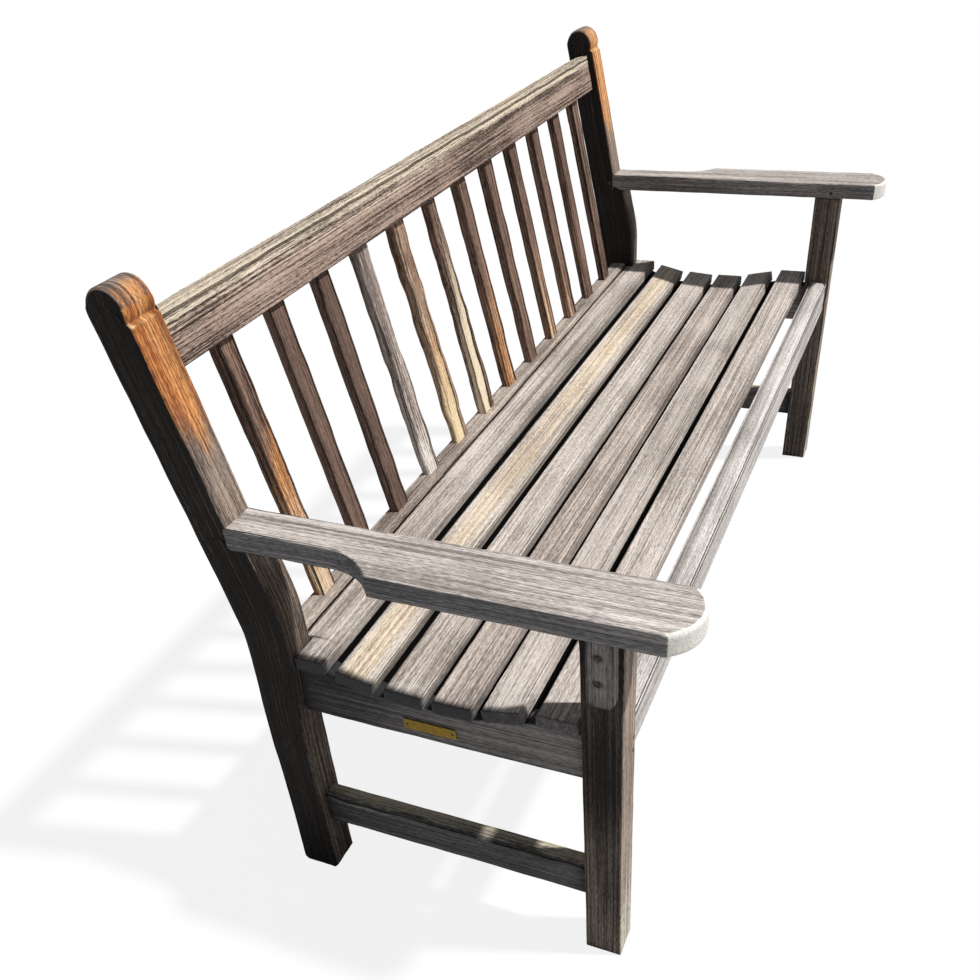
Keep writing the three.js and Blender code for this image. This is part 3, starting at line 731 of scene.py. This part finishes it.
def weathering_and_shade(slab, bleach=0.0, warm=0.0, dirt=0.0, shade=0.0, underside=0.45, flank=0.2, ends=0.35):
    """Masks of a board: faces towards the sky go pale, undersides and faces towards ±x get grimy and
    carry painted shade, and the ends stay grimy.
    """
    up = slab.facing[:, 2]
    side_on = np.abs(slab.facing[:, 0])
    patches = layered_noise(slab.world * 9 + slab.seed, 3)
    # Painted shade, with grime, on undersides and on the faces towards ±x.
    grime_and_shade = dirt + underside * rise(0.1, 0.9, -up) + flank * rise(0.4, 0.9, side_on)
    grime_and_shade = grime_and_shade + ends * close_to(slab.from_end, 12 * MM)
    return {
        "bleach": bleach + 0.08 * rise(0.3, 0.95, up) + 0.08 * patches,
        "warm": warm + np.zeros(len(up)),
        "dirt": grime_and_shade,
        "shade": shade + 0.5 * patches,
    }


def board(slab, wood, slot, origin, along, across, relief=0.5 * MM, touch_up=None, **amounts):
    """Carves, places and weathers a slab, with painted shade and highlights, and makes its object."""
    slab.carve(relief)
    slab.place(origin, along, across)
    masks = weathering_and_shade(slab, **amounts)
    if touch_up:
        touch_up(slab, masks)
    make_object(slab, "wood", WOOD[wood], masks)


def looks(slab, direction):
    """1 where a board faces a direction, 0 where it doesn't."""
    return rise(0.5, 0.85, slab.facing @ direction)


# ---- end frames
ARM_BOTTOM, ARM_TOP = reach("arm_left", Z)
INNER_FACE, OUTER_FACE = reach("back_post_right", X)
LEG_FRONT, LEG_REAR = reach("front_leg_left", Y)
NECK = reach("back_post_left", Z)[1] - 39 * MM  # height of the ledge under a post's head
UPRIGHT, LEVEL = (Z, Y), (Y, Z)  # directions along and across a board of an end frame
POST_LINE = OUTER_FACE - 6 * MM  # where across a post its outline is measured, clear of its mortises


def frame_board(node, outline, radii, wood, axes, relief, touch_up, wear=1.0, grain_width=0.0, **amounts):
    """A board of an end frame, whose thickness lies along x."""
    slab = Slab(node, outline, thickness(node, X), radii, wear, grain_width=grain_width)
    board(slab, wood, "teak_frame", middle(node, X) * X, *axes, relief, touch_up, **amounts)


def post_front(side, z):
    """Where the front of a back post is, at a height."""
    return hit("back_post_" + side, (ENDS[side] * POST_LINE, -OUTSIDE, z), Y)[1]


def back_post(side):
    node = "back_post_" + side
    way = ENDS[side]
    outline = post_outline(node, way * POST_LINE, ARM_BOTTOM)
    radii = {"all": 2.4 * MM, ("far", "top"): 4 * MM, ("far", "bottom"): 4 * MM}

    def touch_up(slab, masks):
        z = slab.world[:, 2]
        crown = slab.on_end * (slab.along > 0.5)
        slab.grain[:, 0] += crown * slab.grain[:, 1]
        slab.grain[:, 1] *= 1 - crown
        front = (slab.across < 0.001) * (1 - crown)
        outward = (slab.world[:, 0] * way - INNER_FACE) / (OUTER_FACE - INNER_FACE)
        above = rise(ARM_TOP + 0.02, ARM_TOP + 0.16, z)
        below = 1 - rise(ARM_BOTTOM - 0.06, ARM_BOTTOM + 0.02, z)
        ledge = close_to(np.abs(z - NECK), 2.5 * MM)
        masks["end"] = slab.on_end * (1 - crown)
        masks["warm"] += 0.8 * front * above + crown * (0.1 + 0.45 * rise(-0.2, 0.8, -slab.facing[:, 1]))
        corner = rise(0.8, 0.95, outward)
        # The ledge under the head is bleached and carries a painted highlight.
        masks["bleach"] += front * (0.3 * (1 - above) + 0.35 * above * corner + 0.6 * ledge) + 0.2 * crown
        # Painted shade and grime on the faces other than the front, and the arm's painted shadow on the
        # front below the arm.
        masks["dirt"] += 0.75 * (1 - front) * (1 - crown) + 0.65 * front * below + 0.15 * crown
        masks["dirt"] += front * above * (0.5 * rise(-0.5, -0.25, -outward) - 0.1)

    frame_board(node, outline, radii, "post", UPRIGHT, 0.5 * MM, touch_up, grain_width=POST_WIDTH, ends=0)


def front_leg(side):
    node = "front_leg_" + side
    y0, y1 = reach(node, Y)
    outline = straight((reach(node, Z)[0], y0), (ARM_BOTTOM, y1))

    def touch_up(slab, masks):
        z = slab.world[:, 2]
        front = looks(slab, -Y)
        arm_shadow = rise(ARM_BOTTOM - 0.07, ARM_BOTTOM - 0.01, z)
        masks["warm"] += 0.34 * front * rise(0.2, 0.45, z)
        masks["bleach"] += 0.6 * front * rise(-0.35, 0.0, -z)
        outside = looks(slab, ENDS[side] * X)
        # Painted shade and grime on the faces other than the front, deeper higher up on the outer face,
        # under the arm.
        masks["dirt"] += (1 - front) * (0.42 - 0.04 * outside + 0.28 * rise(0.05, 0.4, z) * outside)
        # The arm's painted shadow over the top of the front face, which is lighter further down.
        masks["dirt"] += front * (0.35 * arm_shadow - 0.2)

    frame_board(node, outline, {"all": 2.2 * MM}, "leg", UPRIGHT, 0.5 * MM, touch_up, wear=1.3, ends=0.1)


def arm(side):
    node = "arm_" + side
    outline = arm_outline(node, post_front(side, ARM_TOP) + TUCK)
    radii = {"all": 2.6 * MM, ("far", "top"): 5 * MM, ("far", "bottom"): 4 * MM}
    slab = Slab(node, outline, thickness(node, Z), radii, wear=1.3)

    def touch_up(slab, masks):
        up = looks(slab, Z)
        nose = slab.on_end * (slab.along > 0.5)
        masks["end"] = 0.3 * slab.on_end
        # A painted highlight on the nose, which faces the light; the top also bleaches towards the nose.
        masks["bleach"] += 0.05 * up + 0.25 * rise(0.5, 1.0, slab.along) * up + 1.2 * nose
        # Painted shade on the sides and underside, and the nose lightened.
        masks["dirt"] += 0.5 * (1 - up) * (1 - nose) - 0.8 * nose

    board(slab, "arm", "teak_arm", middle(node, Z) * Z, -Y, X, 0.45 * MM, touch_up, ends=0)


def arm_block(side):
    node = "arm_block_" + side
    outline = block_outline(node, middle(node, X), ARM_BOTTOM - FIT)
    screws = [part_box(f"arm_block_screw_{side}_{n}") for n in (1, 2)]

    def touch_up(slab, masks):
        for low, high in screws:
            centre = (np.array(low) + np.array(high))[1:] / 2
            away = np.linalg.norm(slab.world[:, 1:] - centre, axis=1)
            masks["dirt"] += 0.5 * rise(-8 * MM, -4 * MM, -away)
        masks["bleach"] += 0.35 * looks(slab, -Y)

    frame_board(node, outline, {"all": 1.6 * MM}, "rail", UPRIGHT, 0.3 * MM, touch_up, dirt=0.1)


def side_rail(side):
    node = "side_rail_" + side
    inner = min(reach(node, X), key=abs)
    rear = post_front(side, 0.35) + TUCK
    outline = side_rail_outline(node, inner + ENDS[side] * 3 * MM, LEG_REAR + FIT, rear)

    def touch_up(slab, masks):
        # Painted shade on the top, under the slat ends, and darker towards the rear.
        masks["dirt"] += 0.6 * rise(0.35, 0.85, slab.along) + 0.8 * looks(slab, Z)

    frame_board(node, outline, {}, "rail", LEVEL, 0.4 * MM, touch_up)


def lower_stretcher(side):
    node = "lower_stretcher_" + side
    z0, z1 = reach(node, Z)
    outline = straight((LEG_REAR + FIT, z0), (post_front(side, middle(node, Z)) + TUCK, z1))
    outer = "bottom" if side == "left" else "top"
    radii = {"all": 2 * MM, ("high", outer): 9 * MM}

    def touch_up(slab, masks):
        up = looks(slab, Z)
        # Painted light on the top, which the seat shades, and painted shade on the other faces.
        masks["bleach"] += 0.5 * up
        masks["dirt"] += 0.5 * (1 - up) - 0.4 * up

    frame_board(node, outline, radii, "rail", LEVEL, 0.4 * MM, touch_up, dirt=-0.1)


# ---- long rails and slats
BACK_FRONT = face_direction("top_rail", -Y)
BACK_UP = np.cross(BACK_FRONT, X)


def long_rail(node, up, front, radii, wood, slot, touch_up=None, **amounts):
    w0, w1 = reach(node, up)
    t0, t1 = reach(node, front)
    half = INNER_FACE - 0.1 * MM
    slab = Slab(node, straight((-half, w0), (half, w1)), t1 - t0, radii, wear=0.25)
    board(slab, wood, slot, front * (t0 + t1) / 2, X, up, 0.6 * MM, touch_up, **amounts)


def top_rail():
    radii = {"all": 2 * MM, ("high", "top"): 9 * MM, ("high", "bottom"): 6 * MM}

    def touch_up(slab, masks):
        skyward = rise(0.28, 0.7, slab.facing[:, 2])
        # Sky-facing faces bleach; the pale band high on the front is a painted highlight.
        masks["bleach"] += 0.5 * skyward + (0.1 + 0.75 * rise(0.35, 1.0, slab.across)) * (1 - skyward)
        # Painted shade on the rear face, and darker towards the left end.
        masks["dirt"] += 0.25 * looks(slab, Y) + 0.15 * (1 - slab.along) - 0.2 * skyward

    long_rail("top_rail", BACK_UP, BACK_FRONT, radii, "top_rail", "teak_back", touch_up, ends=0.15)


def lower_back_rail():
    radii = {"all": 2 * MM, ("high", "top"): 8 * MM, ("high", "bottom"): 4 * MM}

    def touch_up(slab, masks):
        masks["bleach"] += 0.2 * looks(slab, Z)
        masks["warm"] += 0.15 * looks(slab, -Y)

    long_rail("lower_back_rail", Z, -Y, radii, "lower_rail", "teak_frame", touch_up)


def front_seat_rail():
    radii = {"all": 2 * MM, ("high", "top"): 13 * MM, ("high", "bottom"): 13 * MM}
    long_rail("front_seat_rail", Z, -Y, radii, "front_rail", "teak_seat", ends=0.1)


# Wood, wear of the edges, warmth, bleaching and grime of the back slats, from the left end.
BACK_SLATS = [
    ("slat_brown", 1.2, 1.35, 0.5, -0.1),
    ("slat_smooth", 0.3, 0.0, 0.0, 0.0),
    ("slat_smooth", 0.3, 0.0, 0.0, 0.05),
    ("slat_grey", 4.0, 0.0, 0.5, -0.1),
    ("slat_gold", 4.5, 0.85, 0.7, -0.15),
    ("slat_brown", 4.0, 0.6, 1.0, -0.15),
    ("slat_brown", 2.0, 0.6, 0.25, 0.0),
    ("slat_brown", 1.0, 0.15, 0.1, 0.05),
    ("slat_brown", 1.0, 0.35, 0.2, 0.0),
    ("slat_brown", 1.0, 0.3, 0.2, 0.0),
    ("slat_brown", 1.0, 0.2, 0.15, 0.0),
    ("slat_brown", 1.0, 0.15, 0.1, 0.0),
]


def back_slat(number, wood, ragged, warm, bleach, dirt):
    node = f"back_slat_{number:02d}"
    l0, l1 = reach(node, BACK_UP)
    x0, x1 = reach(node, X)
    t0, t1 = reach(node, -BACK_FRONT)
    radii = {"all": 2 * MM, ("low", "bottom"): 5.5 * MM, ("high", "bottom"): 4.5 * MM}
    slab = Slab(node, straight((l0, x0), (l1, x1)), t1 - t0, radii, ragged=ragged * MM)

    def touch_up(slab, masks):
        foot = rise(-0.3, -0.05, -slab.along)
        front = rise(-0.3, 0.4, -slab.facing[:, 1])
        lower = rise(0.15, 0.75, 1 - slab.along + 0.2 * (slab.across - 0.5))
        masks["warm"] += warm * (lower + 0.3 * foot) * front
        masks["bleach"] += bleach * (0.4 + 0.6 * lower) * front + 0.2 * foot * front
        # Painted shade on the sides and back of the smoother slats.
        masks["dirt"] += (0.0 if ragged > 3 else 0.25) * (1 - front)

    place = -BACK_FRONT * (t0 + t1) / 2
    board(slab, wood, "teak_back", place, BACK_UP, X, 0.5 * MM, touch_up, dirt=dirt, ends=0, flank=0)


SEAT_WOODS = ["seat", "seat", "seat_brown", "seat", "seat_pale", "seat"]


def seat_slat_outline(node, up, across):
    """Plan of a seat slat. The rearmost is notched round the posts, and the others are plain, with
    stations where the painted shadow under the arms begins."""
    half = reach(node, X)[1]
    w0, w1 = reach(node, across)
    if node == f"seat_slat_{len(SEAT_WOODS)}":
        notch_y = hit(node, (OUTER_FACE - 15 * MM, OUTSIDE, middle(node, up)), -Y)[1]
        return notched_outline(half, w0, w1, INNER_FACE - 1.5 * MM, notch_y)
    edges = np.array([-1, -1, 1, 1]) * INNER_FACE + np.array([-2, 2, -2, 2]) * MM
    return straight((-half, w0), (half, w1), (half + edges) / (2 * half))


def seat_slat(number, wood):
    node = f"seat_slat_{number}"
    up = face_direction(node, Z)
    across = np.cross(up, X)
    t0, t1 = reach(node, up)
    radii = {"all": 1.8 * MM, ("low", "top"): 2.2 * MM, ("high", "top"): 2.2 * MM}
    slab = Slab(node, seat_slat_outline(node, up, across), t1 - t0, radii, wear=0.4)

    def touch_up(slab, masks):
        upward = slab.facing @ up
        rounded = rise(0.25, 0.6, upward) * (1 - rise(0.93, 0.99, upward))
        arm_shadow_band = rise(INNER_FACE - 2 * MM, INNER_FACE + 2 * MM, np.abs(slab.world[:, 0]))
        middle_band = rise(-0.45, -0.15, -np.abs(slab.across - 0.55))
        # A painted highlight along the rounded top edges.
        masks["bleach"] += 0.05 + 0.2 * rounded
        tinted = 0.75 + 0.5 * layered_noise(slab.world * 3, 2)
        masks["warm"] += tinted * (wood == "seat_pale") * middle_band
        # The arm's painted shadow over the slat ends, and painted shade on the slats' sides in the gaps.
        masks["dirt"] += 0.2 * arm_shadow_band + 0.35 * (1 - rise(-0.1, 0.35, upward)) * (1 - slab.on_end)
        # Painted shade on the end faces under the arms, deeper towards the rear slats.
        masks["dirt"] += slab.on_end * (0.3 + 0.09 * number)

    amounts = {"ends": 0.2, "flank": 0.0, "shade": 0.1 * (number % 3 - 1)}
    board(slab, wood, "teak_seat", up * (t0 + t1) / 2, X, across, 0.4 * MM, touch_up, **amounts)


# ---- pegs, screws and plate
class Turned:
    """A solid of revolution from (radius, height) pairs, top first, about an axis through a point."""

    def __init__(self, node, profile, centre, axis, sides=28):
        self.node = node
        self.seed = seed_of(node)
        (_, top), *rings, (_, bottom) = profile
        angle = 2 * np.pi * np.arange(sides) / sides
        wobble = 1 + 0.015 * np.sin(3 * angle + self.seed)
        ring = np.column_stack([np.cos(angle), np.sin(angle)]) * wobble[:, None]
        loops = [np.column_stack([ring * r, np.full(sides, h)]) for r, h in rings]
        self.grain = np.concatenate([[[0, 0, top]], *loops, [[0, 0, bottom]]])
        last = len(self.grain) - 1
        index = 1 + np.arange(len(loops) * sides).reshape(len(loops), sides)
        following = np.roll(index, -1, axis=1)
        self.quads = [(0, a, b) for a, b in zip(index[0], following[0])]
        for rows in zip(index[:-1], index[1:], following[1:], following[:-1]):
            self.quads += zip(*rows)
        self.quads += [(last, b, a) for a, b in zip(index[-1], following[-1])]
        first = np.cross(axis, [0.3, 0.5, 0.8])
        first /= np.linalg.norm(first)
        self.world = np.asarray(centre) + self.grain @ np.array([first, np.cross(axis, first), axis])
        self.on_end = (self.grain[:, 2] > 0).astype(float)


def head_place(node, direction):
    """Middle of the end face of a CAD pin that looks in a direction."""
    low, high = (np.array(c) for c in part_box(node))
    return (low + high) / 2 + direction * (high - low) / 2


def peg(node, direction):
    radius = thickness(node, Z) / 2
    long = thickness(node, direction)
    dome = [(0, 0.5), (0.5, 0.45), (0.85, 0.25), (1, -0.15)]
    profile = [(r * radius, h * MM) for r, h in dome] + [(radius, -long), (0, -long)]
    piece = Turned(node, profile, head_place(node, direction), direction)
    make_object(piece, "wood", WOOD["peg"], {"dirt": 0.25, "end": 1.0})


SCREW_RADIUS = 4.5  # all screw sizes are in millimetres
SCREW_SLOT = 0.7
SCREW_PROFILE = [(0, -0.9), (SCREW_RADIUS, -0.9), (2.2, -3.2), (2.2, -34), (0, -40)]
SCREW_RINGS = [(0.94, 0.25), (1.0, 0.0), (1.0, -0.9)]  # scale and height of each ring of a head's half


def half_rim(way, tilt):
    """Edge of one half of a slotted head, turned by a tilt."""
    start = math.asin(SCREW_SLOT / SCREW_RADIUS)
    angle = np.linspace(start, math.pi - start, 15)
    rim = np.column_stack([np.cos(angle), np.sin(angle)]) * SCREW_RADIUS * MM * [1, way]
    return rim @ np.array([[math.cos(tilt), math.sin(tilt)], [-math.sin(tilt), math.cos(tilt)]])


def half_head_faces(start, count, order):
    """Faces of one half of a slotted head, whose three rings of points begin at an index."""
    cap = [start + n for n in range(count)]
    base = [start + 2 * count + n for n in range(count)]
    faces = [tuple(cap[::order]), tuple(base[::-order])]
    for level in range(2):
        for n in range(count):
            a = start + level * count + n
            b = start + level * count + (n + 1) % count
            faces.append((a, a + count, b + count, b)[::order])
    return faces


def screw_head(node, side, face):
    """The head of a slotted screw, with its shank, set just proud of a board's face."""
    way = ENDS[side]
    centre = head_place(node, way * X)
    centre[0] = face
    profile = [(r * MM, h * MM) for r, h in SCREW_PROFILE]
    screw = Turned(node, profile, centre, way * X)
    points = [screw.world]
    for half in (-1, 1):
        rim = half_rim(half, screw.seed * 0.4)
        screw.quads += half_head_faces(sum(len(p) for p in points), len(rim), half * way)
        for scale, height in SCREW_RINGS:
            level = np.full(len(rim), face + way * height * MM)
            points.append(np.column_stack([level, centre[1:] + rim * scale]))
    screw.world = np.concatenate(points)
    screw.grain = screw.world - centre
    screw.on_end = np.zeros(len(screw.world))
    make_object(screw, "steel", METAL["steel"], {}, smooth=False)


def plate_pin(node, face):
    """A domed pin, its head on the plate's face."""
    radius = thickness(node, Z) / 2
    centre = head_place(node, -X)
    centre[0] = face
    dome = [(0, 0.9), (0.4, 0.82), (0.75, 0.55), (0.95, 0.2), (1, -0.05)]
    shank = [(0.45, -0.2), (0.45, -10), (0, -11)]
    profile = [(r * radius, h * MM) for r, h in dome + shank]
    piece = Turned(node, profile, centre, -X)
    make_object(piece, "brass", METAL["pin"], {})


def blank_plate():
    node = "blank_plate"
    (face, y0, z0), (_, y1, z1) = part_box(node)
    outline = straight((y0, z0), (y1, z1))
    slab = Slab(node, outline, thickness(node, X), {"all": 0.4 * MM}, wear=0.5)
    slab.carve(0.12 * MM)
    slab.place(middle(node, X) * X, Y, Z)
    make_object(slab, "brass", METAL["brass"], {})
    for n in (1, 2):
        plate_pin(f"plate_pin_{n}", face)


def fasteners(side):
    peg("arm_leg_peg_" + side, -ENDS[side] * X)
    peg("arm_post_peg_" + side, -ENDS[side] * X)
    outer_face = max(reach("arm_block_" + side, X), key=abs)
    for n in (1, 2):
        peg(f"front_rail_peg_{side}_{n}", -Y)
        screw_head(f"arm_block_screw_{side}_{n}", side, outer_face)
    for n in range(1, len(SEAT_WOODS) + 1):
        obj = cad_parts[f"seat_screw_{side}_{n}"]
        obj.data.materials.clear()
        obj.data.materials.append(METAL["steel"])


for side in ENDS:
    back_post(side)
    front_leg(side)
    arm(side)
    arm_block(side)
    side_rail(side)
    lower_stretcher(side)
    fasteners(side)
blank_plate()
top_rail()
lower_back_rail()
front_seat_rail()
for number, looks_of_slat in enumerate(BACK_SLATS, start=1):
    back_slat(number, *looks_of_slat)
for number, wood in enumerate(SEAT_WOODS, start=1):
    seat_slat(number, wood)


# ---- studio
WHITE = (1, 1, 1, 1)
FLOOR_HALF = 60
FLOOR_GLOW = 0.86
# The floor's colour to the camera, and to the light that it throws back.
FLOOR_SEEN = (0.12, 0.12, 0.12, 1)
FLOOR_CAST = (0.5, 0.5, 0.5, 1)
STRIP_DROP = 1 * MM  # how far the black strips are below the slats
STRIP_TUCK = 5 * MM  # how far they run in under the slats on both sides
SUN = {"towards": (0.19, -0.6, 1.0), "strength": 3.8, "spread_angle": 0.05}
SKY = {"seen": 0.95, "cast": 0.2, "tint": (0.88, 0.95, 1.05, 1)}


def stage_quad(name, corners, material):
    mesh = bpy.data.meshes.new(name)
    mesh.from_pydata([tuple(c) for c in corners], [], [(0, 1, 2, 3)])
    mesh.materials.append(material)
    obj = bpy.data.objects.new(name, mesh)
    bpy.context.scene.collection.objects.link(obj)


def floor():
    """A white floor. The camera sees it lit from behind as well, so that shadows on it stay faint."""
    s = Surface("pale_floor")
    seen = s.camera_ray()
    s.put(s.shader.inputs["Base Color"], s.mix(seen, FLOOR_CAST, FLOOR_SEEN))
    s.put(s.shader.inputs["Emission Color"], WHITE)
    s.put(s.shader.inputs["Emission Strength"], s.product(seen, FLOOR_GLOW))
    s.put(s.shader.inputs["Roughness"], 0.95)
    s.put(s.shader.inputs["Specular IOR Level"], 0.0)
    far = FLOOR_HALF
    stage_quad("floor", [(-far, -far, 0), (far, -far, 0), (far, far, 0), (-far, far, 0)], s.material)


def underside_edges(node):
    """Front and rear edges of a place close under a seat slat, at the middle of the bench."""
    up = face_direction(node, Z)
    across = np.cross(up, X)
    underside = up * (reach(node, up)[0] - STRIP_DROP)
    return [underside + across * w for w in reach(node, across)]


def gap_shades():
    """Black strips close under the gaps of the seat: a painted shadow, so that no bright floor shines
    through them.
    """
    s = Surface("gap_shade")
    s.put(s.shader.inputs["Base Color"], (0.004, 0.004, 0.004, 1))
    s.put(s.shader.inputs["Specular IOR Level"], 0.0)
    edges = [underside_edges(f"seat_slat_{n}") for n in range(1, len(SEAT_WOODS) + 1)]
    half = middle("side_rail_right", X) * X
    for number, (this, following) in enumerate(zip(edges[:-1], edges[1:]), start=1):
        front, rear = this[1] - STRIP_TUCK * Y, following[0] + STRIP_TUCK * Y
        corners = [front - half, front + half, rear + half, rear - half]
        stage_quad(f"gap_shade_{number}", corners, s.material)


def soft_key(towards, strength, spread_angle):
    """The sun: an even key light from far away, with soft-edged shadows."""
    light = bpy.data.lights.new("key", "SUN")
    light.angle = spread_angle
    light.energy = strength
    obj = bpy.data.objects.new("key", light)
    obj.rotation_euler = Vector(towards).to_track_quat("Z", "Y").to_euler()
    bpy.context.scene.collection.objects.link(obj)


def fill_light(seen, cast, tint):
    """A plain sky: white to the camera, and a faint, tinted light on everything else."""
    world = bpy.data.worlds.new("studio")
    s = Nodes(world)
    camera_ray = s.camera_ray()
    background = s.tree.nodes["Background"].inputs
    s.put(background["Strength"], s.node("MapRange", {0: camera_ray, 3: cast, 4: seen}).outputs[0])
    s.put(background["Color"], s.mix(camera_ray, tint, WHITE))
    bpy.context.scene.world = world


def studio():
    floor()
    gap_shades()
    soft_key(**SUN)
    fill_light(**SKY)
    bpy.context.scene.view_settings.view_transform = "Standard"


# ---- camera
EYE = Vector((-1.5242, LEG_FRONT - 0.229, 1.2219))
RIGHT = Vector((0.38320227, -0.92112662, -0.06842349))
DOWN = Vector((-0.61748367, -0.20038073, -0.76063229))
FORWARD = Vector((0.6869279, 0.33372641, -0.64556699))
LENS = 36.26
SHIFT = {"shift_x": -0.01355, "shift_y": 0.1762}


def shift_lens(camera, name, amount):
    """Shifts the lens while the camera stands at its own place, and not once it is moved for a view."""
    driver = camera.data.driver_add(name).driver
    variable = driver.variables.new()
    variable.name = "x"
    variable.targets[0].id = camera
    variable.targets[0].data_path = "location.x"
    driver.expression = f"{amount} if abs(x - ({EYE.x:.4f})) < 0.001 else 0"


def add_camera():
    data = bpy.data.cameras.new("camera")
    data.sensor_width = 36
    data.lens = LENS
    camera = bpy.data.objects.new("camera", data)
    bpy.context.scene.collection.objects.link(camera)
    turn = Matrix((RIGHT, -DOWN, -FORWARD)).transposed().to_4x4()
    camera.matrix_world = Matrix.Translation(EYE) @ turn
    for name, amount in SHIFT.items():
        shift_lens(camera, name, amount)
    bpy.context.scene.camera = camera


studio()
add_camera()
